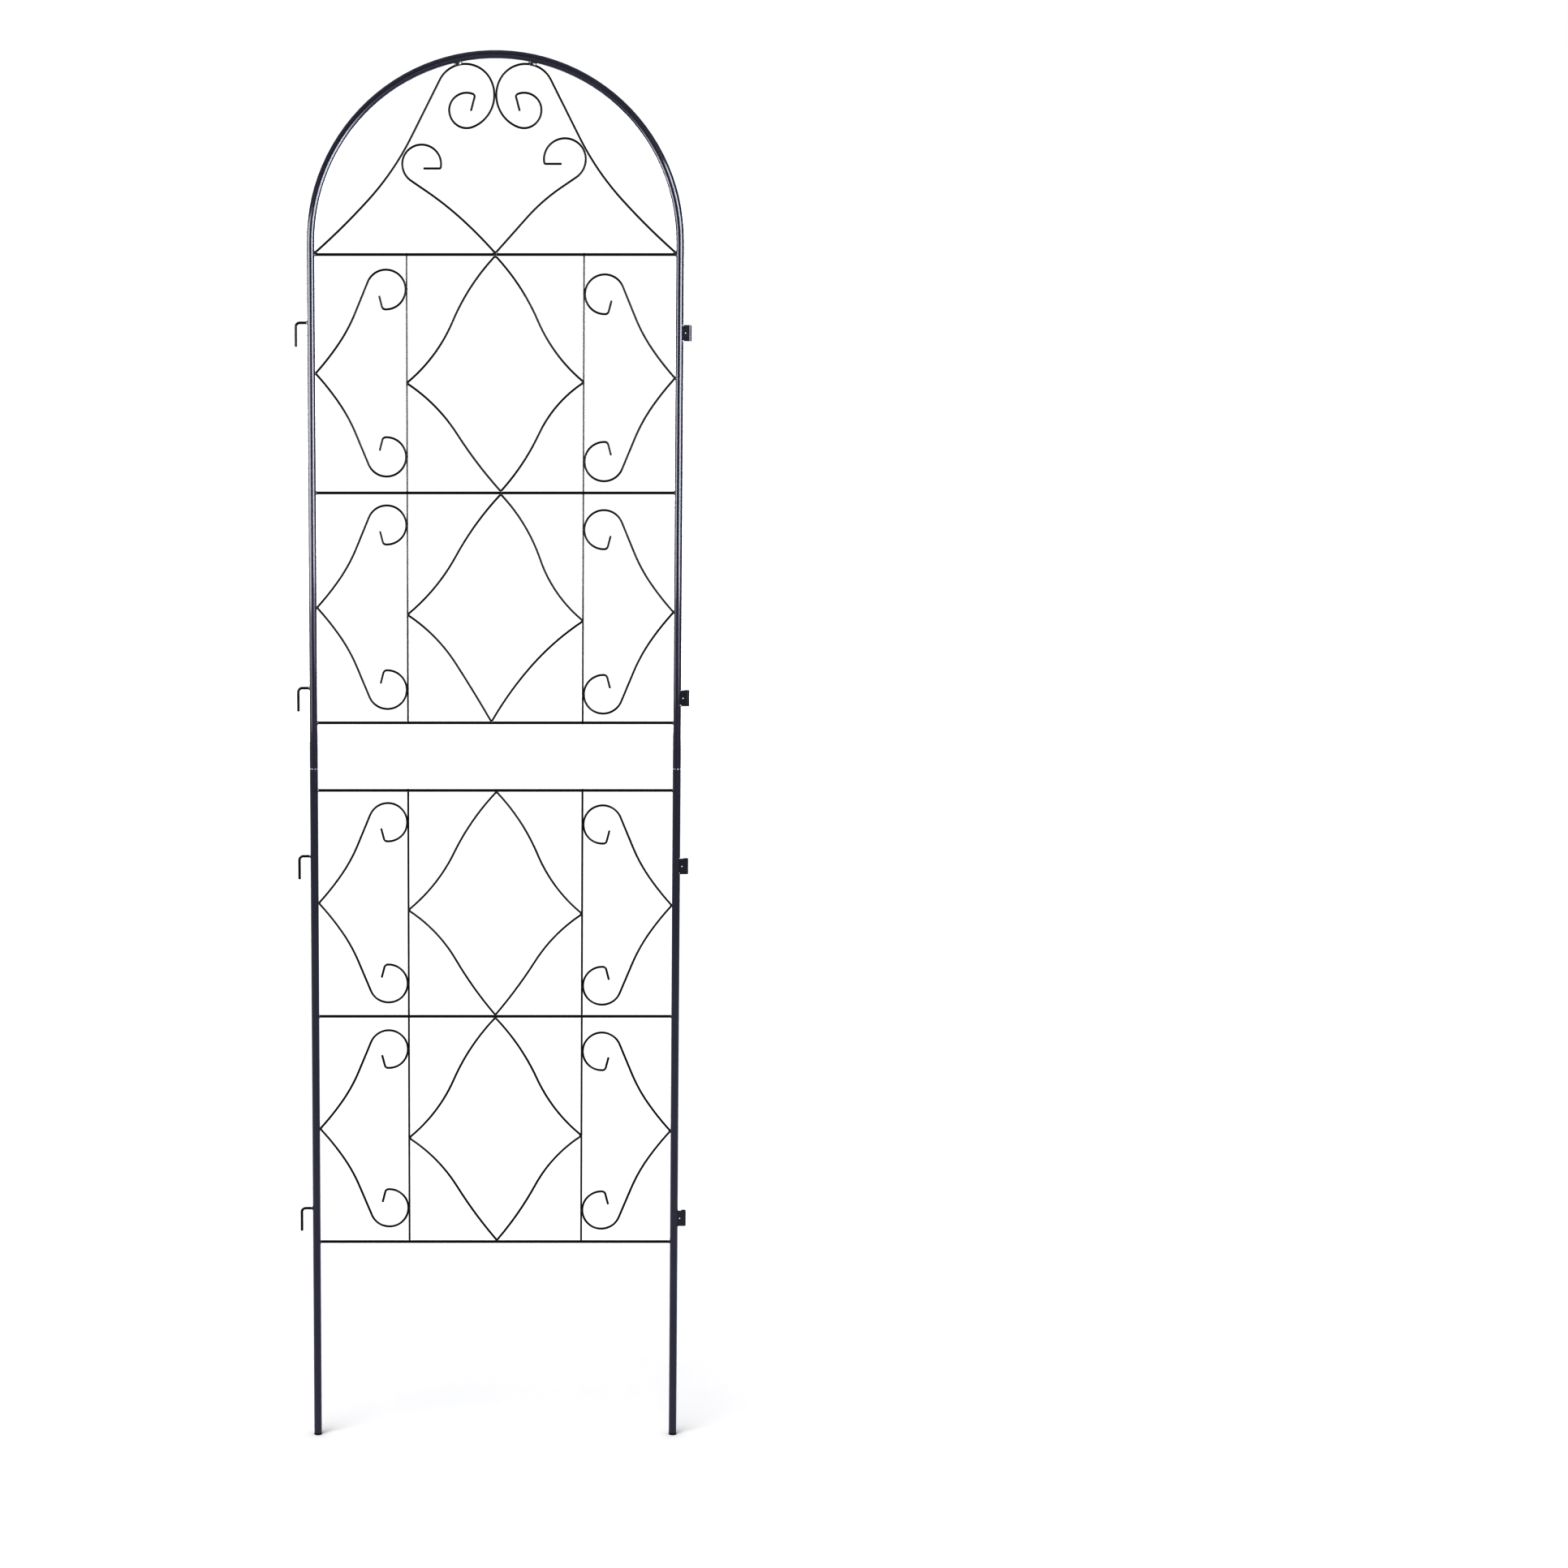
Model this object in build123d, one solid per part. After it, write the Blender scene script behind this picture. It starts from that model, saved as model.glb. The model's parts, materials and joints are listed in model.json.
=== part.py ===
from build123d import *
from math import atan2, cos, degrees, radians, sin, sqrt
import os

# A flat garden trellis panel with an arched top, in two sections. The lower section is planted
# by its two legs. The upper section plugs onto two spigots in the tops of the legs.
# Units are millimetres. X runs along the panel, Y through it (the front faces -Y), Z up.
# The origin is on the ground plane of the feet, midway between the legs.

# ---- Driving dimensions --------------------------------------------------------------------

# Frame tubes
OVERALL_HEIGHT = 1800.0
TUBE_SPACING = 470.0  # between the axes of the two side tubes
TUBE_R = 5.0
TUBE_WALL = 0.8

# Heights of the three rails of each section
RAILS = {"lower": (261.0, 562.0, 859.0), "upper": (947.0, 1243.0, 1545.0)}

# Plug-in joint
JOINT_Z = 887.0
BEAD_HEIGHT = 1.5  # the spigot's bead, which stands between the two tube ends
BEAD_R = 4.6
SPIGOT_R = 4.15  # runs in the upper tube's 4.2 bore
SHANK_R = 4.18  # crimped into the leg's 4.2 bore
SPIGOT_BORE_R = 3.1
SPIGOT_RISE = 40.0
SHANK_DEPTH = 40.0
LEAD_IN = 1.5

# Foot plugs
PLUG_FLANGE = 2.5
PLUG_DEPTH = 14.0
PLUG_EDGE = 1.2

# Wires
RAIL_R = 1.6
ROD_R = 1.1
WIRE_R = 1.2
ROD_X = 113.0
ROD_BEHIND = 1.9  # the rods' axes stand this far behind the rails', sunk into them by welding

# Clearances that stand for the weld metal between two touching pieces
COPE_GAP = 0.02
TOUCH_GAP = 0.03

# Diamonds. Slopes are in degrees from vertical.
TOP_TIP_SLOPE = 43.0
ABOVE_POINT_SLOPE = 50.0  # just above the side points
BELOW_POINT_SLOPE = 56.0  # just below them
TOP_TIP_BEND = 2.5
BOTTOM_TIP_BEND = 1.5
SIDE_BEND = 2.5
CLOSING_GAP = 3.0  # degrees of bottom bend left open on each side, where the wire's ends meet
# The diamonds are bent by hand, so no two are alike. For each one: the sideways shift of its
# bottom and top tips, how far its left and right points sit below the middle of the cell, and
# the slope at its bottom tip.
DIAMONDS = {
    "lower_diamond_bottom": (2.0, 0.0, 11.0, 8.0, 40.0),
    "lower_diamond_top": (0.0, 1.5, 8.0, 13.0, 40.0),
    "upper_diamond_bottom": (-5.0, 7.0, 8.0, 16.0, 30.0),
    "upper_diamond_top": (7.0, 0.0, 11.0, 10.0, 42.0),
}

# Side scrolls
SCROLL_POINT_SLOPE = 42.0  # degrees from vertical where the wire leaves its point
SCROLL_STEM_SLOPE = 22.5  # degrees from vertical where it enters the curl
SCROLL_STEM = 42.0  # straight length before the curl
CURL_R = 25.0
CURL_RISE = 106.0  # from the point up to the curl's centre
CURL_TURN = 250.0
CURL_END_BEND = 4.5
CURL_END_TURN = 73.0
CURL_TAIL = 14.0
# Height of each scroll's point above the middle of its cell
LEFT_SCROLL_SHIFT = {"lower": 1.0, "upper": 1.0}
RIGHT_SCROLL_SHIFT = {"lower": -2.0, "upper": -5.0}

# Crown scrolls. Each bend of the curl is (radius, degrees turned), from the stem inwards.
CROWN_FOOT_SLOPE = 49.0
CROWN_STEM_SLOPE = 27.0
CROWN_STEM = 80.0
CROWN_TOP_BEND = (36.0, 123.0)
CROWN_SIDE_BEND = (42.0, 100.0)
CROWN_INNER_BEND = (22.0, 220.0)
CROWN_END_BEND = (4.0, 85.0)
CROWN_TAIL = 17.0
CROWN_ARCH_GAP = 2.0  # filled by the weld between curl and arch

# Heart scroll: the height of each curl's centre, and its radius
HEART_CURLS = {"left": (1658.0, 24.6), "right": (1664.0, 26.5)}
HEART_POINT_SLOPE = 42.0
HEART_STEM_SLOPE = 56.0
HEART_STEM = 24.0
HEART_BEND = 2.5
HEART_TURN = 244.0
HEART_END_BEND = 2.0
HEART_END_TURN = 82.0
HEART_TAIL = 20.0

# Hooks on the left tube and sockets on the right tube
HOOK_ABOVE_BOTTOM_RAIL = 45.0
HOOK_BELOW_TOP_RAIL = 86.0
HOOK_R = 1.5
HOOK_REACH = 14.5  # from the tube's side to the axis of the drop
HOOK_DROP = 30.0
HOOK_BEND = 5.0
SOCKET_HEIGHT = 20.0
SOCKET_BELOW_HOOK = 3.0
SOCKET_REACH = 7.3  # from the tube's side to the axis of the barrel
SOCKET_R = 3.2
SOCKET_BORE_R = 2.1
SOCKET_SHEET = SOCKET_R - SOCKET_BORE_R
SOCKET_HOLE_R = 1.0
SOCKET_HOLE_REACH = 2.4
SOCKET_SLIT = 0.5

# ---- Derived places ------------------------------------------------------------------------

TUBE_X = TUBE_SPACING / 2
BORE_R = TUBE_R - TUBE_WALL
INNER_EDGE = TUBE_X - TUBE_R
OUTER_EDGE = TUBE_X + TUBE_R
ARCH_Z = OVERALL_HEIGHT - TUBE_X - TUBE_R  # centre of the half-round top
LEG_TOP = JOINT_Z - BEAD_HEIGHT / 2
STILE_FOOT = JOINT_Z + BEAD_HEIGHT / 2 + COPE_GAP
TOP_RAIL_Z = RAILS["upper"][2]
# How far beside a rod's axis the axis of a wire runs where the two touch
BESIDE_ROD = sqrt((ROD_R + WIRE_R + TOUCH_GAP) ** 2 - ROD_BEHIND**2)
RAIL_TO_WIRE = RAIL_R + WIRE_R + TOUCH_GAP


# ---- Bent wires ----------------------------------------------------------------------------


def direction(heading):
    return Vector(cos(radians(heading)), sin(radians(heading)))


def on_left_bend(centre, radius, heading):
    """The point of a left-hand bend at which the wire runs along the heading."""
    return Vector(*centre) + direction(heading - 90) * radius


def on_right_bend(centre, radius, heading):
    return Vector(*centre) + direction(heading + 90) * radius


class BentWire:
    """A wire's axis, drawn in the panel's plane as (x, z), each piece tangent to the last.
    Headings are in degrees, 0 along +X and 90 up. A positive angle turns left."""

    def __init__(self, start, heading):
        self.at = Vector(*start)
        self.heading = heading
        self.edges = []

    def line(self, length):
        end = self.at + direction(self.heading) * length
        self.edges.append(Edge.make_line(self.at, end))
        self.at = end

    def bend(self, radius, angle):
        arc = JernArc(self.at, direction(self.heading), radius, angle)
        self.edges.append(arc.edge())
        self.at = arc @ 1
        self.heading += angle

    def arc_to(self, end):
        chord = end - self.at
        off = degrees(atan2(chord.Y, chord.X)) - self.heading
        off = (off + 180) % 360 - 180
        self.bend(chord.length / (2 * sin(radians(abs(off)))), 2 * off)

    def blend_to(self, end, heading):
        """Two arcs, tangent to each other, that arrive at the end along the heading."""
        gap, before, after = end - self.at, direction(self.heading), direction(heading)
        across, along = 2 * (1 - before.dot(after)), gap.dot(before + after)
        if across < 1e-9:
            reach = gap.dot(gap) / (2 * along)
        else:
            reach = (sqrt(along**2 + across * gap.dot(gap)) - along) / across
        self.arc_to((self.at + end + (before - after) * reach) / 2)
        self.arc_to(end)


def round_wire(edges, radius):
    """A solid round wire along edges drawn in (x, z), stood up into the panel's plane."""
    path = Wire(edges)
    return Plane.XZ * sweep((path ^ 0) * Circle(radius), path=path)


def diamond(low_z, high_z, low_shift, high_shift, left_drop, right_drop, low_slope):
    """One wire, bent at its top tip and side points, its ends meeting at the bottom tip."""
    low_centre = (low_shift, low_z + RAIL_TO_WIRE + BOTTOM_TIP_BEND)
    high_centre = (high_shift, high_z - RAIL_TO_WIRE - TOP_TIP_BEND)
    side_x, mid_z = ROD_X - BESIDE_ROD - SIDE_BEND, (low_z + high_z) / 2
    right_centre, left_centre = (side_x, mid_z - right_drop), (-side_x, mid_z - left_drop)
    # Headings of the wire on its way round: in and out of the right, top and left bends
    right_in, right_out = 90 - BELOW_POINT_SLOPE, 90 + ABOVE_POINT_SLOPE
    top_in, top_out = 90 + TOP_TIP_SLOPE, 270 - TOP_TIP_SLOPE
    left_in, left_out = 270 - ABOVE_POINT_SLOPE, 270 + BELOW_POINT_SLOPE

    wire = BentWire(on_left_bend(low_centre, BOTTOM_TIP_BEND, CLOSING_GAP), CLOSING_GAP)
    wire.bend(BOTTOM_TIP_BEND, 90 - low_slope - CLOSING_GAP)
    wire.blend_to(on_left_bend(right_centre, SIDE_BEND, right_in), right_in)
    wire.bend(SIDE_BEND, right_out - right_in)
    wire.blend_to(on_left_bend(high_centre, TOP_TIP_BEND, top_in), top_in)
    wire.bend(TOP_TIP_BEND, top_out - top_in)
    wire.blend_to(on_left_bend(left_centre, SIDE_BEND, left_in), left_in)
    wire.bend(SIDE_BEND, left_out - left_in)
    wire.blend_to(
        on_left_bend(low_centre, BOTTOM_TIP_BEND, 270 + low_slope), 270 + low_slope
    )
    wire.bend(BOTTOM_TIP_BEND, 90 - low_slope - CLOSING_GAP)
    return round_wire(wire.edges, WIRE_R)


def side_scroll(point_z):
    """The right-hand scroll: its point touches the tube, and both curls touch the rod."""
    point_x = INNER_EDGE - WIRE_R - TOUCH_GAP
    leave, arrive = 90 + SCROLL_POINT_SLOPE, 90 + SCROLL_STEM_SLOPE
    curl_centre = (ROD_X + BESIDE_ROD + CURL_R, CURL_RISE)
    stem_end = on_left_bend(curl_centre, CURL_R, arrive)

    wire = BentWire((point_x, 0), 90)
    wire.bend(SIDE_BEND, leave - 90)
    wire.blend_to(stem_end - direction(arrive) * SCROLL_STEM, arrive)
    wire.line(SCROLL_STEM)
    wire.bend(CURL_R, CURL_TURN)
    wire.bend(CURL_END_BEND, CURL_END_TURN)
    wire.line(CURL_TAIL)
    lower_half = [edge.mirror(Plane.XZ) for edge in wire.edges]
    return Pos(0, 0, point_z) * round_wire(wire.edges + lower_half, WIRE_R)


def crown_stem_end():
    """Where the left crown scroll's straight stem meets its curl. The curl's side touches its
    twin on the panel's centre line, and its top bend is welded up to the arch."""
    top_r, side_r = CROWN_TOP_BEND[0], CROWN_SIDE_BEND[0]
    side_heading = 90 - CROWN_STEM_SLOPE - CROWN_TOP_BEND[1]
    side_reach = side_r + (top_r - side_r) * cos(radians(side_heading + 90))
    x = -(side_reach + WIRE_R + TOUCH_GAP / 2)
    z = ARCH_Z + sqrt((INNER_EDGE - WIRE_R - CROWN_ARCH_GAP - top_r) ** 2 - x**2)
    return on_right_bend((x, z), top_r, 90 - CROWN_STEM_SLOPE)


def left_crown_scroll():
    """From the corner of rail and tube, up to the arch, and round into a double curl."""
    foot_heading, stem_heading = 90 - CROWN_FOOT_SLOPE, 90 - CROWN_STEM_SLOPE
    end_clear = 0.2
    foot = Vector(
        -INNER_EDGE + WIRE_R * sin(radians(foot_heading)) + end_clear,
        TOP_RAIL_Z + RAIL_R + WIRE_R * cos(radians(foot_heading)) + end_clear,
    )
    wire = BentWire(foot, foot_heading)
    wire.blend_to(crown_stem_end() - direction(stem_heading) * CROWN_STEM, stem_heading)
    wire.line(CROWN_STEM)
    for radius, turn in (CROWN_TOP_BEND, CROWN_SIDE_BEND, CROWN_INNER_BEND, CROWN_END_BEND):
        wire.bend(radius, -turn)
    wire.line(CROWN_TAIL)
    return round_wire(wire.edges, WIRE_R)


def half_heart(curl_z, curl_r):
    """The right-hand half, from the point on the top rail to its curl's tail."""
    stem_heading = 90 - HEART_STEM_SLOPE
    # The curl touches the straight stem of the crown scroll beside it.
    on_stem, slope = crown_stem_end(), radians(CROWN_STEM_SLOPE)
    from_stem = curl_r + 2 * WIRE_R + TOUCH_GAP
    curl_x = -on_stem.X + ((on_stem.Y - curl_z) * sin(slope) - from_stem) / cos(slope)
    stem_end = on_left_bend((curl_x, curl_z), curl_r, stem_heading)

    wire = BentWire((0, TOP_RAIL_Z + RAIL_TO_WIRE), 0)
    wire.bend(HEART_BEND, 90 - HEART_POINT_SLOPE)
    wire.blend_to(stem_end - direction(stem_heading) * HEART_STEM, stem_heading)
    wire.line(HEART_STEM)
    wire.bend(curl_r, HEART_TURN)
    wire.bend(HEART_END_BEND, HEART_END_TURN)
    wire.line(HEART_TAIL)
    return wire.edges


def heart_scroll():
    right = half_heart(*HEART_CURLS["right"])
    left = [edge.mirror(Plane.YZ) for edge in half_heart(*HEART_CURLS["left"])]
    return round_wire(right + left, WIRE_R)


# ---- Tubes, rails and rods -----------------------------------------------------------------


def upright(x, y, low, high, radius):
    return Pos(x, y, low) * Cylinder(
        radius, high - low, align=(Align.CENTER, Align.CENTER, Align.MIN)
    )


def coped(piece):
    """The piece with its ends cut to sit against the side tubes."""
    for side in (-1, 1):
        piece -= upright(side * TUBE_X, 0, 0, OVERALL_HEIGHT, TUBE_R + COPE_GAP)
    return piece


def leg_tube(x):
    return upright(x, 0, PLUG_FLANGE, LEG_TOP, TUBE_R) - upright(
        x, 0, PLUG_FLANGE, LEG_TOP, BORE_R
    )


def arch_tube():
    path = Wire(
        [
            Edge.make_line((-TUBE_X, 0, STILE_FOOT), (-TUBE_X, 0, ARCH_Z)),
            Edge.make_three_point_arc(
                (-TUBE_X, 0, ARCH_Z), (0, 0, ARCH_Z + TUBE_X), (TUBE_X, 0, ARCH_Z)
            ),
            Edge.make_line((TUBE_X, 0, ARCH_Z), (TUBE_X, 0, STILE_FOOT)),
        ]
    )
    section = (path ^ 0) * (Circle(TUBE_R) - Circle(BORE_R))
    return sweep(section, path=path)


def rail(z):
    bar = Pos(0, 0, z) * Rot(0, 90, 0) * Cylinder(RAIL_R, 2 * TUBE_X - TUBE_R)
    return coped(bar)


def rod(x, rail_heights):
    """An upright rod behind the rails, with a seat pressed in where it crosses each one."""
    bar = upright(x, ROD_BEHIND, rail_heights[0] - RAIL_R, rail_heights[-1] + RAIL_R, ROD_R)
    for z in rail_heights:
        bar -= Pos(x, 0, z) * Rot(0, 90, 0) * Cylinder(RAIL_R + COPE_GAP, 6 * ROD_R)
    return bar


def spigot(x):
    """A short tube: its shank is crimped into the leg, and its bead carries the upper tube."""
    bead_low, bead_high = LEG_TOP + COPE_GAP, JOINT_Z + BEAD_HEIGHT / 2
    top = bead_high + SPIGOT_RISE
    bead = upright(x, 0, bead_low, bead_high, BEAD_R)
    bead = fillet(bead.edges().filter_by(GeomType.CIRCLE), 0.45 * BEAD_HEIGHT)
    pin = upright(x, 0, JOINT_Z, top, SPIGOT_R)
    pin = chamfer(pin.edges().filter_by(GeomType.CIRCLE).sort_by(Axis.Z)[-1], LEAD_IN, 0.7)
    body = upright(x, 0, LEG_TOP - SHANK_DEPTH, JOINT_Z, SHANK_R) + bead + pin
    return body - upright(x, 0, LEG_TOP - SHANK_DEPTH, top, SPIGOT_BORE_R)


def leg_plug(x):
    flange = upright(x, 0, 0, PLUG_FLANGE - COPE_GAP, TUBE_R)
    flange = fillet(flange.edges().filter_by(GeomType.CIRCLE).sort_by(Axis.Z)[0], PLUG_EDGE)
    stem = upright(x, 0, PLUG_FLANGE / 2, PLUG_DEPTH, BORE_R - COPE_GAP)
    stem = chamfer(stem.edges().filter_by(GeomType.CIRCLE).sort_by(Axis.Z)[-1], 1.0)
    return flange + stem


# ---- Hooks and sockets ---------------------------------------------------------------------


def hook(z):
    """Straight out of the left tube's side, then down. It drops into the next panel's socket."""
    drop_x = -OUTER_EDGE - HOOK_REACH
    wire = BentWire((-TUBE_X - TUBE_R / 2, z), 180)
    wire.line(-TUBE_X - TUBE_R / 2 - drop_x - HOOK_BEND)
    wire.bend(HOOK_BEND, 90)
    wire.line(HOOK_DROP - HOOK_BEND)
    piece = coped(round_wire(wire.edges, HOOK_R))
    tip = piece.edges().filter_by(GeomType.CIRCLE).sort_by(Axis.Z)[0]
    return fillet(tip, 0.5)


def socket(top_z):
    """Sheet rolled into an upright barrel, its leaf run back to the right tube's side."""
    barrel_x = OUTER_EDGE + SOCKET_REACH
    low_z = top_z - SOCKET_HEIGHT
    mid_z = (low_z + top_z) / 2
    leaf_y = -SOCKET_R + SOCKET_SHEET / 2
    leaf = Pos((TUBE_X + barrel_x) / 2, leaf_y, mid_z) * Box(
        barrel_x - TUBE_X, SOCKET_SHEET, SOCKET_HEIGHT
    )
    barrel = upright(barrel_x, 0, low_z, top_z, SOCKET_R)
    slit = Pos(barrel_x - SOCKET_R, leaf_y + (SOCKET_SHEET + SOCKET_SLIT) / 2, mid_z) * Box(
        SOCKET_R, SOCKET_SLIT, SOCKET_HEIGHT
    )
    hole = Pos(OUTER_EDGE + SOCKET_HOLE_REACH, leaf_y, mid_z) * Rot(90, 0, 0) * Cylinder(
        SOCKET_HOLE_R, 2 * SOCKET_SHEET
    )
    piece = barrel + leaf - upright(barrel_x, 0, low_z, top_z, SOCKET_BORE_R)
    return coped(piece - slit - hole)


# ---- The whole panel -----------------------------------------------------------------------


def fitted_section(section):
    """The pieces that both sections have: rails, rods, diamonds, scrolls, hooks and sockets."""
    rails = RAILS[section]
    pieces = {}
    for place, z in zip(("bottom", "middle", "top"), rails):
        pieces[f"{section}_rail_{place}"] = rail(z)
    for side, sign in (("left", -1), ("right", 1)):
        pieces[f"{section}_{side}_rod"] = rod(sign * ROD_X, rails)
    for cell, low_z, high_z in zip(("bottom", "top"), rails, rails[1:]):
        name = f"{section}_diamond_{cell}"
        pieces[name] = diamond(low_z, high_z, *DIAMONDS[name])
        mid_z = (low_z + high_z) / 2
        right = side_scroll(mid_z + RIGHT_SCROLL_SHIFT[section])
        left = mirror(side_scroll(mid_z + LEFT_SCROLL_SHIFT[section]), about=Plane.YZ)
        pieces[f"{section}_right_scroll_{cell}"] = right
        pieces[f"{section}_left_scroll_{cell}"] = left
    hook_heights = (rails[0] + HOOK_ABOVE_BOTTOM_RAIL, rails[2] - HOOK_BELOW_TOP_RAIL)
    for place, z in zip(("bottom", "top"), hook_heights):
        pieces[f"{section}_hook_{place}"] = hook(z)
        pieces[f"{section}_socket_{place}"] = socket(z - SOCKET_BELOW_HOOK)
    return pieces


def build():
    pieces = {}
    for side, x in (("left", -TUBE_X), ("right", TUBE_X)):
        pieces[f"{side}_leg_tube"] = leg_tube(x)
        pieces[f"{side}_leg_plug"] = leg_plug(x)
        pieces[f"{side}_spigot"] = spigot(x)
    pieces["arch_tube"] = arch_tube()
    pieces["heart_scroll"] = heart_scroll()
    pieces["left_crown_scroll"] = left_crown_scroll()
    pieces["right_crown_scroll"] = mirror(pieces["left_crown_scroll"], about=Plane.YZ)
    pieces |= fitted_section("lower") | fitted_section("upper")
    return pieces


os.makedirs("parts", exist_ok=True)
for name, piece in build().items():
    export_step(piece, f"parts/{name}.step")
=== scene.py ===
import json
from itertools import combinations
from math import cos, exp, pi, radians, sin

import bmesh
import bpy
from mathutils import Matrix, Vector, noise
from mathutils.bvhtree import BVHTree


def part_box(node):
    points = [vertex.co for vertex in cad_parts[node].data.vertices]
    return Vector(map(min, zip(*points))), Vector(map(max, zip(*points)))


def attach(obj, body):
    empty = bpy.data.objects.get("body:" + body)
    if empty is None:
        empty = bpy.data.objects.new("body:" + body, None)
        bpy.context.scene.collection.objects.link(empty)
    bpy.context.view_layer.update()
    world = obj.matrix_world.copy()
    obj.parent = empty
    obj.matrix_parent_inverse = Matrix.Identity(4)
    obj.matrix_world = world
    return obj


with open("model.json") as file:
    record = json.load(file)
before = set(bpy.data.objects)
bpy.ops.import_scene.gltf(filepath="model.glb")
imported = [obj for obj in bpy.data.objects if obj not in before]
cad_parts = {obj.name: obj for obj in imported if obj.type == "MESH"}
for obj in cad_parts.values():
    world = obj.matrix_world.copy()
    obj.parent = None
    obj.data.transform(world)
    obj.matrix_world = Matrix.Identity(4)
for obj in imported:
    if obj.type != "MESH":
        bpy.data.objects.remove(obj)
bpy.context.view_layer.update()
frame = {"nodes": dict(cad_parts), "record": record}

# The looks of a flat garden trellis panel in two sections. The CAD nodes keep their shapes and
# get their materials here. The welds that join them are built here and ride on their sections.
# Metres, in the CAD's frame: X along the panel, the front towards -Y, Z up.

MM = 0.001
NODES = frame["nodes"]
BODIES = frame["record"]["behaviour"]["bodies"]


def put_in_scene(name, data):
    made = bpy.data.objects.new(name, data)
    bpy.context.scene.collection.objects.link(made)
    return made


# ---- Camera --------------------------------------------------------------------------------

CAMERA_PLACE = (0.0, -4.0, 1.3062)
CAMERA_PITCH = 6.26  # degrees below level
CAMERA_LENS = 71.285  # millimetres, on the sensor below
CAMERA_SENSOR = 36.0
CAMERA_SHIFT = 0.1841  # the panel stands left of the middle of the view
CAMERA_CLIP = (0.05, 200.0)


def add_camera():
    data = bpy.data.cameras.new("camera")
    data.sensor_width = CAMERA_SENSOR
    data.lens = CAMERA_LENS
    data.shift_x = CAMERA_SHIFT
    data.clip_start, data.clip_end = CAMERA_CLIP
    camera = put_in_scene("camera", data)
    camera.location = CAMERA_PLACE
    camera.rotation_euler = (radians(90 - CAMERA_PITCH), 0, 0)
    bpy.context.scene.camera = camera


# ---- Materials -----------------------------------------------------------------------------

# Each pair is the deepest and the palest colour of a mottled surface
TUBE_COLOURS = ((0.052, 0.051, 0.076), (0.065, 0.064, 0.094))
WIRE_COLOURS = ((0.007, 0.007, 0.009), (0.012, 0.012, 0.016))
SHEET_COLOURS = ((0.038, 0.038, 0.053), (0.048, 0.048, 0.067))
ZINC_COLOURS = ((0.27, 0.28, 0.3), (0.44, 0.45, 0.47))
PLASTIC_COLOURS = ((0.01, 0.01, 0.011), (0.03, 0.03, 0.032))
WELD_COLOURS = ((0.02, 0.02, 0.028), (0.05, 0.052, 0.07))
BARE_WELD_COLOUR = (0.3, 0.31, 0.34, 1)
FLOOR_COLOURS = ((0.547, 0.547, 0.545), (0.558, 0.557, 0.553))

COAT_IOR = 1.5
PEEL_DEPTH = 0.02 * MM  # how deep the orange peel of a powder coat is
GRAIN_DEPTH = PEEL_DEPTH * 0.1
MOTTLE_SHARE = 0.75  # of a powder coat's colour pattern; its grain has the rest


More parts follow.
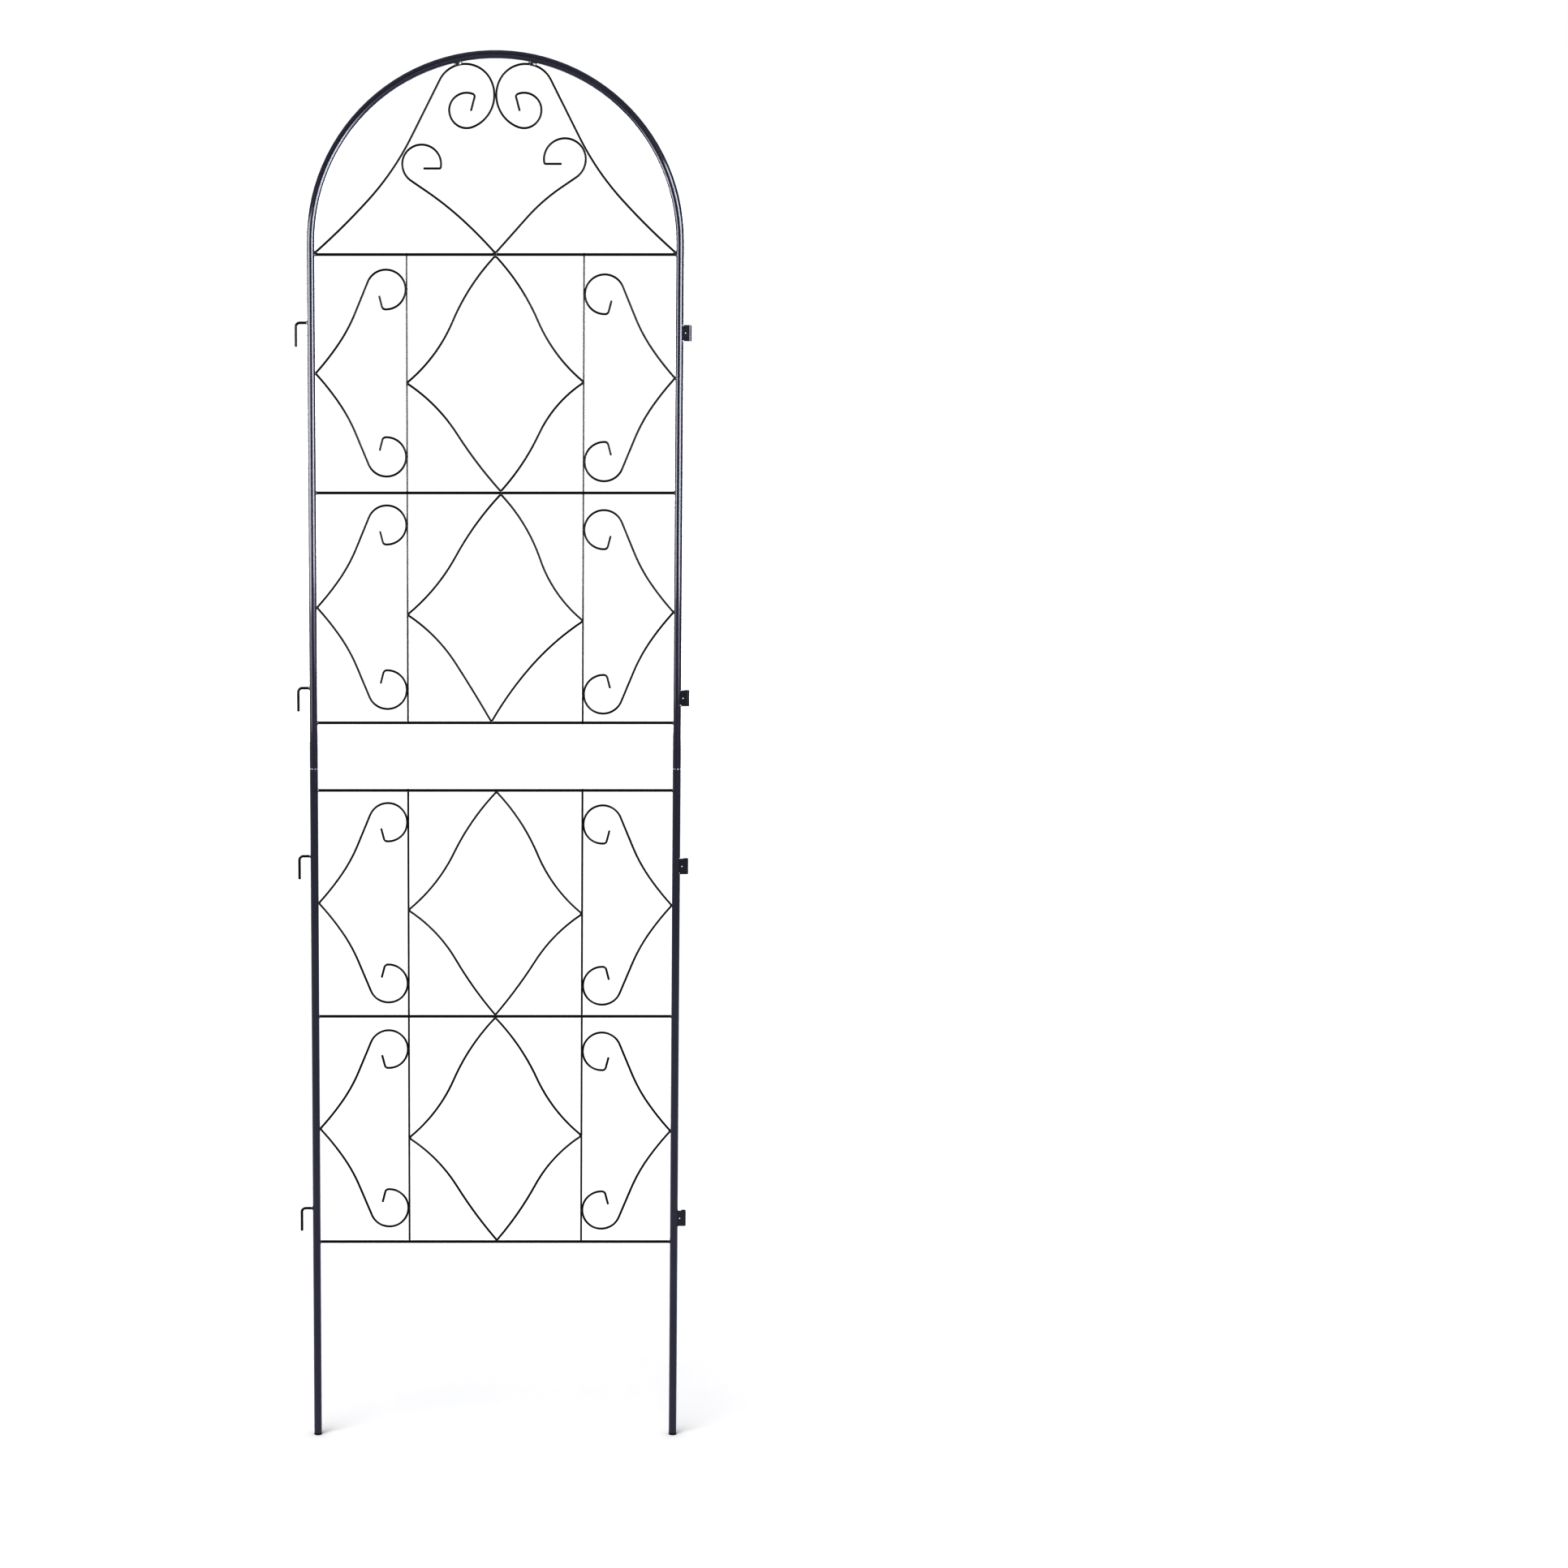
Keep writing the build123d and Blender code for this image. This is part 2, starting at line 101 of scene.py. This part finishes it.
class Shading:
    """A node material on a Principled shader, its patterns in the frame's own metres."""

    def __init__(self, name):
        self.material = bpy.data.materials.new(name)
        self.material.use_nodes = True
        self.tree = self.material.node_tree
        self.tree.nodes.clear()
        output = self.tree.nodes.new("ShaderNodeOutputMaterial")
        self.shader = self.tree.nodes.new("ShaderNodeBsdfPrincipled")
        self.tree.links.new(self.shader.outputs["BSDF"], output.inputs["Surface"])
        self.place = self.tree.nodes.new("ShaderNodeTexCoord").outputs["Object"]

    def feed(self, socket, value):
        """Gives the socket a value, or links it to another socket."""
        if isinstance(value, bpy.types.NodeSocket):
            self.tree.links.new(value, socket)
        else:
            socket.default_value = value

    def add(self, kind, **inputs):
        """A node, with its inputs by name, with _ for a space."""
        made = self.tree.nodes.new(kind)
        for key, value in inputs.items():
            self.feed(made.inputs[key.replace("_", " ")], value)
        return made

    def uniform(self, **values):
        for key, value in values.items():
            self.shader.inputs[key.replace("_", " ")].default_value = value

    def link(self, source, *names):
        for name in names:
            self.tree.links.new(source, self.shader.inputs[name])

    def noise(self, size, detail=2.0, stretch=(1, 1, 1), seed=0.0):
        """Noise with lumps about so many metres across, longer where the stretch is larger."""
        moved = self.add(
            "ShaderNodeMapping",
            Vector=self.place,
            Location=(seed, seed * 0.7, seed * 1.3),
            Scale=tuple(1 / s for s in stretch),
        )
        return self.add(
            "ShaderNodeTexNoise",
            Vector=moved.outputs[0],
            Scale=1 / size,
            Detail=detail,
            Roughness=0.55,
        ).outputs[0]

    def ramp(self, factor, low, high, colours):
        """The factor as a colour, from the first colour at low to the second at high."""
        made = self.add("ShaderNodeValToRGB", Fac=factor)
        for element, place, colour in zip(made.color_ramp.elements, (low, high), colours):
            element.position = place
            element.color = (*colour, 1)
        return made.outputs[0]

    def span(self, factor, low, high, out_low, out_high):
        """The factor's span from low to high, mapped onto the other span and held to it."""
        return self.add(
            "ShaderNodeMapRange",
            Value=factor,
            From_Min=low,
            From_Max=high,
            To_Min=out_low,
            To_Max=out_high,
        ).outputs[0]

    def maths(self, operation, a, b):
        made = self.tree.nodes.new("ShaderNodeMath")
        made.operation = operation
        self.feed(made.inputs[0], a)
        self.feed(made.inputs[1], b)
        return made.outputs[0]

    def mix(self, factor, a, b):
        """Colour a where the factor is 0, and colour b where it is 1."""
        made = self.tree.nodes.new("ShaderNodeMix")
        made.data_type = "RGBA"
        for number, value in ((0, factor), (6, a), (7, b)):
            self.feed(made.inputs[number], value)
        return made.outputs[2]

    def bump(self, *layers):
        """Bumps on top of each other. Each layer is (height, depth in metres)."""
        normal = None
        for height, depth in layers:
            made = self.add("ShaderNodeBump", Height=height, Strength=1.0, Distance=depth)
            if normal is not None:
                self.tree.links.new(normal, made.inputs["Normal"])
            normal = made.outputs[0]
        return normal


def powder_coat(name, colours, peel_size, gloss):
    """Baked powder coat: slightly mottled colour, orange-peel surface, uneven gloss."""
    s = Shading(name)
    mottle = s.noise(20 * MM, detail=3.0, stretch=(1, 1, 3))
    grain = s.noise(0.4 * MM, detail=1.0, seed=3.0)
    pattern = s.maths(
        "ADD",
        s.maths("MULTIPLY", mottle, MOTTLE_SHARE),
        s.maths("MULTIPLY", grain, 1 - MOTTLE_SHARE),
    )
    s.link(s.ramp(pattern, 0.3, 0.7, colours), "Base Color")
    worn = s.noise(6 * MM, seed=5.0)
    s.link(s.span(worn, 0.3, 0.7, 0.3, 0.4), "Roughness")
    peel = s.noise(peel_size, detail=1.5, seed=1.0)
    s.link(s.bump((peel, PEEL_DEPTH), (grain, GRAIN_DEPTH)), "Normal", "Coat Normal")
    s.uniform(
        Specular_IOR_Level=0.25, Coat_Weight=gloss, Coat_Roughness=0.07, Coat_IOR=COAT_IOR
    )
    return s.material


def bright_zinc(name):
    """Bright zinc plate over turned steel, with fine rings round the pin."""
    s = Shading(name)
    cloud = s.noise(3 * MM)
    s.link(s.ramp(cloud, 0.3, 0.7, ZINC_COLOURS), "Base Color")
    rings = s.noise(0.3 * MM, detail=1.0, stretch=(60, 60, 1), seed=2.0)
    s.link(s.span(rings, 0.25, 0.75, 0.14, 0.34), "Roughness")
    s.link(s.bump((rings, 0.02 * MM)), "Normal")
    s.uniform(Metallic=1.0)
    return s.material


def black_plastic(name):
    """Soft moulded polyethylene, finely eroded, with a little dust in its pores."""
    s = Shading(name)
    grain = s.noise(0.5 * MM, detail=3.0)
    smear = s.noise(5 * MM, seed=4.0)
    dust = s.maths("MULTIPLY", grain, smear)
    s.link(s.ramp(dust, 0.15, 0.4, PLASTIC_COLOURS), "Base Color")
    s.link(s.span(smear, 0.3, 0.7, 0.42, 0.62), "Roughness")
    s.link(s.bump((grain, 0.05 * MM)), "Normal")
    s.uniform(Specular_IOR_Level=0.4)
    return s.material


def coated_weld(name):
    """Weld metal under a thin coat: rippled, with the coat drawn off its sharpest points."""
    s = Shading(name)
    lumps = s.noise(1.6 * MM, detail=1.5, seed=6.0)
    ripple = s.noise(0.8 * MM, detail=1.0, seed=7.0)
    coat = s.ramp(lumps, 0.35, 0.7, WELD_COLOURS)
    bare = s.span(s.maths("MULTIPLY", lumps, ripple), 0.42, 0.46, 0.0, 1.0)
    s.link(s.mix(bare, coat, BARE_WELD_COLOUR), "Base Color")
    s.link(bare, "Metallic")
    s.link(s.span(ripple, 0.3, 0.7, 0.22, 0.36), "Roughness")
    s.link(s.bump((lumps, 0.06 * MM), (ripple, 0.02 * MM)), "Normal")
    s.uniform(
        Specular_IOR_Level=0.4, Coat_Weight=1.0, Coat_Roughness=0.12, Coat_IOR=COAT_IOR
    )
    return s.material


def pale_floor(name):
    """A matt studio floor, close to white in the light it gets, and faintly clouded."""
    s = Shading(name)
    cloud = s.noise(0.4, detail=3.0)
    s.link(s.ramp(cloud, 0.2, 0.8, FLOOR_COLOURS), "Base Color")
    s.link(s.span(cloud, 0.2, 0.8, 0.75, 0.9), "Roughness")
    s.uniform(Specular_IOR_Level=0.0)
    return s.material


def dress_nodes():
    """Gives each CAD node the material of its slot. The rods are glossier than other wire."""
    materials = {
        "coated_tube": powder_coat("coated_tube", TUBE_COLOURS, peel_size=2.2 * MM, gloss=1.0),
        "coated_wire": powder_coat("coated_wire", WIRE_COLOURS, peel_size=1.3 * MM, gloss=0.3),
        "coated_rod": powder_coat("coated_rod", WIRE_COLOURS, peel_size=1.3 * MM, gloss=1.0),
        "coated_sheet": powder_coat("coated_sheet", SHEET_COLOURS, peel_size=1.8 * MM, gloss=0.8),
        "zinc_spigot": bright_zinc("zinc_spigot"),
        "foot_plug": black_plastic("foot_plug"),
    }
    for part in frame["record"]["subparts"]:
        node = NODES[part["node"]]
        kind = "coated_rod" if part["node"].endswith("_rod") else part["material_slot"]
        if not node.material_slots:
            node.data.materials.append(materials[kind])
        for slot in node.material_slots:
            slot.material = materials[kind]


# ---- Welds ---------------------------------------------------------------------------------

TUBE_BORE = 8.4 * MM
BORE_REACH = TUBE_BORE * 1.05  # a face with another in front of it this near is in a bore
RAY_START = 0.05 * MM  # a ray starts this far off its own face
INSIDE_LEAN = 0.3  # how squarely a point has to lie behind its nearest face to be inside
FOUND_WITHIN = 0.35 * MM  # pieces this close are welded to each other
CROWN_GAP_WITHIN = 2.3 * MM  # the weld from a crown curl to the arch fills a wider gap
CLUSTER = 8 * MM  # touching places this close share a weld
NEARLY_CLOSEST = 0.02 * MM  # a weld's centre is the mean of the spots this near its smallest gap

# For each kind of joint: how far the weld blends, how proud it stands, and how far it spreads,
# all in millimetres
WELD_SIZES = {
    "rail_tube": (2.2, 0.3, 2.6),
    "rod_rail": (1.6, 0.4, 2.3),
    "tip": (1.5, 0.4, 2.3),
    "heart_tip": (2.2, 0.75, 3.2),
    "side_point": (1.5, 0.35, 2.1),
    "curl": (1.3, 0.28, 2.3),
    "crown_arch": (4.0, 1.2, 4.6),
    "crown_foot": (2.0, 0.45, 2.6),
    "hook": (2.0, 0.35, 2.8),
    "socket": (1.4, 0.4, 2.0),
}
WELD_REACH = 2.0  # no weld goes further than this times its spread
WELD_DRAWN_IN = 1.2 * MM  # how far its surface has sunk at the end of that reach
WELD_DETAIL = 3  # subdivisions of its ball
WELD_STEPS = 9  # from its centre to its reach, to find its surface
WELD_HALVINGS = 5  # of the step that holds the surface
WOBBLE = 0.1  # how uneven a weld is, as a share of its radius
WOBBLE_SCALE = 1.7
SEED_STEP = 3.7  # from one weld's wobble to the next


def surface_tree(node):
    """The node's outer surface, for distances. A tube's bore is left out."""
    mesh = node.data
    points = [v.co for v in mesh.vertices]
    whole = BVHTree.FromPolygons(points, [tuple(p.vertices) for p in mesh.polygons])
    outer = []
    for face in mesh.polygons:
        start = face.center + face.normal * RAY_START
        if whole.ray_cast(start, face.normal, BORE_REACH)[0] is None:
            outer.append(tuple(face.vertices))
    return BVHTree.FromPolygons(points, outer)


def signed_distance(tree, point):
    """Negative inside. Beside an edge, a point level with one of its faces is outside."""
    spot, normal, _, gap = tree.find_nearest(point)
    return -gap if (point - spot).dot(normal) < -INSIDE_LEAN * gap else gap


def boxes_meet(a, b, margin):
    (a_low, a_high), (b_low, b_high) = a, b
    return all(a_low[i] - margin < b_high[i] and b_low[i] - margin < a_high[i] for i in range(3))


def contacts(points, tree, within):
    """The places where points of one piece come close to another: one for each cluster."""
    close = []
    for point in points:
        spot, _, _, gap = tree.find_nearest(point, within)
        if spot is not None:
            close.append((gap, (point + spot) / 2))
    close.sort(key=lambda found: found[0])
    clusters = []
    for gap, spot in close:
        for smallest, spots in clusters:
            if (spots[0] - spot).length < CLUSTER:
                if gap < smallest + NEARLY_CLOSEST:
                    spots.append(spot)
                break
        else:
            clusters.append((gap, [spot]))
    return [sum(spots, Vector()) / len(spots) for _, spots in clusters]


def weld_kind(a, b):
    names = f"{a} {b}"
    if "hook" in names:
        return "hook"
    if "socket" in names:
        return "socket"
    if "crown" in names and "arch" in names:
        return "crown_arch"
    if "crown" in names and "rail" in names:
        return "crown_foot"
    if "heart" in names and "rail" in names:
        return "heart_tip"
    if "rod" in names and "rail" in names:
        return "rod_rail"
    if "rod" in names:
        return "side_point" if "diamond" in names else "curl"
    if "rail" in names:
        return "rail_tube" if "tube" in names else "tip"
    return "side_point" if "tube" in names else "curl"


def surface_along(field, centre, way, reach):
    """How far along the way the field turns positive, or the reach where it never does."""
    inside, outside = 0.0, reach
    for i in range(1, WELD_STEPS + 1):
        at = reach * i / WELD_STEPS
        if field(centre + way * at) > 0:
            outside = at
            break
        inside = at
    for _ in range(WELD_HALVINGS):
        middle = (inside + outside) / 2
        if field(centre + way * middle) > 0:
            outside = middle
        else:
            inside = middle
    return (inside + outside) / 2


def weld_mesh(name, centre, trees, size, seed):
    """A closed lump whose surface hugs the pieces it joins, and sinks into them at its rim."""
    blend, proud, spread = (v * MM for v in size)
    reach = spread * WELD_REACH
    joined = [tree for tree in trees if tree.find_nearest(centre, spread)[0] is not None]

    def field(point):
        """Negative inside the weld, which blends the two nearest pieces."""
        near, other = sorted(signed_distance(tree, point) for tree in joined)[:2]
        h = max(blend - (other - near), 0) / blend
        blended = near - h * h * blend / 4
        away = (point - centre).length
        swelling = proud * exp(-((away / spread) ** 2))
        return blended - swelling + WELD_DRAWN_IN * (away / reach) ** 2

    mesh = bpy.data.meshes.new(name)
    ball = bmesh.new()
    bmesh.ops.create_icosphere(ball, subdivisions=WELD_DETAIL, radius=1.0)
    for vertex in ball.verts:
        way = vertex.co.normalized()
        wobble = 1 + WOBBLE * noise.noise(way * WOBBLE_SCALE + Vector((seed, 0, 0)))
        vertex.co = centre + way * (surface_along(field, centre, way, reach) * wobble)
    for face in ball.faces:
        face.smooth = True
    ball.to_mesh(mesh)
    ball.free()
    return mesh


def add_welds(material):
    """A weld at each place where two pieces of a section touch. It rides on the section."""
    count = 0
    for body, members in BODIES.items():
        joined = sorted(n for n in members if "plug" not in n and "spigot" not in n)
        boxes = {n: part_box(n) for n in joined}
        trees = {n: surface_tree(NODES[n]) for n in joined}
        points = {n: [v.co for v in NODES[n].data.vertices] for n in joined}
        for a, b in combinations(joined, 2):
            kind = weld_kind(a, b)
            within = CROWN_GAP_WITHIN if kind == "crown_arch" else FOUND_WITHIN
            if not boxes_meet(boxes[a], boxes[b], within):
                continue
            spots = contacts(points[a], trees[b], within)
            if not spots:
                spots = contacts(points[b], trees[a], within)
            for number, spot in enumerate(spots, 1):
                name = f"weld_{a}_{b}" + (f"_{number}" if len(spots) > 1 else "")
                seed = count * SEED_STEP
                mesh = weld_mesh(name, spot, trees.values(), WELD_SIZES[kind], seed)
                mesh.materials.append(material)
                piece = put_in_scene(name, mesh)
                smooth = piece.modifiers.new("smooth", "SUBSURF")
                smooth.levels = smooth.render_levels = 1
                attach(piece, body)
                count += 1


# ---- Floor and light -----------------------------------------------------------------------

FLOOR_RADII = (2.0, 6.0, 12.0, 30.0, 60.0)  # of its rings, the last one far out of sight
FLOOR_SIDES = 96


def add_floor(material):
    """A wide flat disc. Reflections don't see it: the world's own bright band stands for it."""
    shape = bmesh.new()
    middle = shape.verts.new((0, 0, 0))
    inner = None
    for radius in FLOOR_RADII:
        ring = []
        for i in range(FLOOR_SIDES):
            turn = radians(360 * i / FLOOR_SIDES)
            ring.append(shape.verts.new((radius * cos(turn), radius * sin(turn), 0)))
        for i in range(FLOOR_SIDES):
            k = (i + 1) % FLOOR_SIDES
            if inner is None:
                shape.faces.new((middle, ring[i], ring[k]))
            else:
                shape.faces.new((inner[i], ring[i], ring[k], inner[k]))
        inner = ring
    mesh = bpy.data.meshes.new("floor")
    shape.to_mesh(mesh)
    shape.free()
    mesh.materials.append(material)
    floor = put_in_scene("floor", mesh)
    floor.visible_glossy = False


LEFT_ENDS = ((-0.65, -0.8), (-1.35, 0.15))
RIGHT_ENDS = ((0.66, -2.4), (0.85, -0.3))
BACK_LEFT_ENDS = ((-1.45, 2.0), (-0.5, 2.4))
BACK_RIGHT_ENDS = ((1.45, 2.0), (0.5, 2.4))
WARM, COOL, NEUTRAL = (1.0, 0.97, 0.98), (0.95, 0.98, 1.0), (1.0, 1.0, 1.0)

# Each softbox: the (x, y) of its two ends, its lowest and highest points, radiance and colour.
# A fade is the dimmer foot of its softbox.
SOFTBOXES = {
    "left": (LEFT_ENDS, 1.05, 1.75, 10.0, WARM),
    "left_fade": (LEFT_ENDS, 0.86, 1.05, 4.0, WARM),
    "right": (RIGHT_ENDS, 1.06, 2.0, 13.0, COOL),
    "right_fade": (RIGHT_ENDS, 0.92, 1.06, 5.0, COOL),
    "back_left": (BACK_LEFT_ENDS, 0.7, 1.9, 7.0, NEUTRAL),
    "back_right": (BACK_RIGHT_ENDS, 0.7, 1.9, 7.0, NEUTRAL),
}


def add_softbox(name, ends, low, high, radiance, colour):
    """An upright softbox, its foot from one (x, y) to the other, facing the panel.

    Only reflections see it, so that it leaves the floor and the backdrop even.
    """
    first, last = (Vector((x, y, (low + high) / 2)) for x, y in ends)
    width, height = (last - first).length, high - low
    middle = (first + last) / 2
    facing = (last - first).cross(Vector((0, 0, 1)))
    if facing.dot(middle) > 0:
        facing.negate()
    data = bpy.data.lights.new(name, "AREA")
    data.shape = "RECTANGLE"
    data.size, data.size_y = width, height
    data.energy = radiance * pi * width * height
    data.color = colour
    lamp = put_in_scene(name, data)
    lamp.location = middle
    lamp.rotation_euler = facing.to_track_quat("-Z", "Y").to_euler()
    lamp.visible_camera = False
    lamp.visible_diffuse = False


SUN_STRENGTH = 2.2
SUN_WIDTH = 30  # degrees across, for soft contact shadows
SUN_TILT = (24, -14)  # degrees from straight above, round X and round Y


def add_light():
    for name, softbox in SOFTBOXES.items():
        add_softbox(f"softbox_{name}", *softbox)
    data = bpy.data.lights.new("overhead", "SUN")
    data.energy = SUN_STRENGTH
    data.angle = radians(SUN_WIDTH)
    lamp = put_in_scene("overhead", data)
    lamp.rotation_euler = (radians(SUN_TILT[0]), radians(SUN_TILT[1]), 0)
    lamp.visible_glossy = False


SEEN_STRENGTH = 1.01  # the white backdrop
LIT_STRENGTH = 1.3  # the light that falls on everything
LIT_COLOUR = (0.98, 0.98, 1.0)

# What the panel mirrors: the greys by how steeply the direction rises, from straight down at -1
# to straight up at 1. A bright floor, a dark room round it and a pale ceiling.
MIRRORED = ((-0.2, 0.75), (-0.05, 0.02), (0.2, 0.02), (0.5, 0.3))
MIRRORED_TINT = (0.9, 0.93, 1)
MIRRORED_STRENGTH = 2.0


def mirrored_room(tree):
    """The colour of what the panel mirrors, in the world's node tree."""
    direction = tree.nodes.new("ShaderNodeTexCoord").outputs["Generated"]
    parts = tree.nodes.new("ShaderNodeSeparateXYZ")
    rising = tree.nodes.new("ShaderNodeMapRange")
    rising.inputs["From Min"].default_value = -1.0
    bands = tree.nodes.new("ShaderNodeValToRGB")
    elements = bands.color_ramp.elements
    while len(elements) < len(MIRRORED):
        elements.new(0.5)
    for element, (rise, grey) in zip(elements, MIRRORED):
        element.position = (rise + 1) / 2
        element.color = (*(grey * tint for tint in MIRRORED_TINT), 1)
    tree.links.new(direction, parts.inputs[0])
    tree.links.new(parts.outputs["Z"], rising.inputs["Value"])
    tree.links.new(rising.outputs[0], bands.inputs["Fac"])
    return bands.outputs["Color"]


def set_world():
    """White where the camera looks straight at it, and its own brightness for each other use."""
    world = bpy.data.worlds.new("studio")
    world.use_nodes = True
    tree = world.node_tree
    tree.nodes.clear()

    def background(strength, colour=(1, 1, 1)):
        made = tree.nodes.new("ShaderNodeBackground")
        made.inputs["Color"].default_value = (*colour, 1)
        made.inputs["Strength"].default_value = strength
        return made

    def choose(chosen, usual, other):
        """The other shader for the rays that are chosen, and the usual one for the rest."""
        made = tree.nodes.new("ShaderNodeMixShader")
        for socket, source in zip(made.inputs, (chosen, usual, other)):
            tree.links.new(source, socket)
        return made.outputs[0]

    seen = background(SEEN_STRENGTH)
    lit = background(LIT_STRENGTH, LIT_COLOUR)
    mirrored = background(MIRRORED_STRENGTH)
    tree.links.new(mirrored_room(tree), mirrored.inputs["Color"])
    rays = tree.nodes.new("ShaderNodeLightPath").outputs
    unseen = choose(rays["Is Glossy Ray"], lit.outputs[0], mirrored.outputs[0])
    whole = choose(rays["Is Camera Ray"], unseen, seen.outputs[0])
    output = tree.nodes.new("ShaderNodeOutputWorld")
    tree.links.new(whole, output.inputs["Surface"])
    bpy.context.scene.world = world


VIEW_GAMMA = 0.5  # a steep tone curve, so that thin dark wires keep their weight against white


def set_view():
    settings = bpy.context.scene.view_settings
    settings.view_transform = "Standard"
    settings.gamma = VIEW_GAMMA


add_camera()
dress_nodes()
add_welds(coated_weld("coated_weld"))
add_floor(pale_floor("pale_floor"))
add_light()
set_world()
set_view()
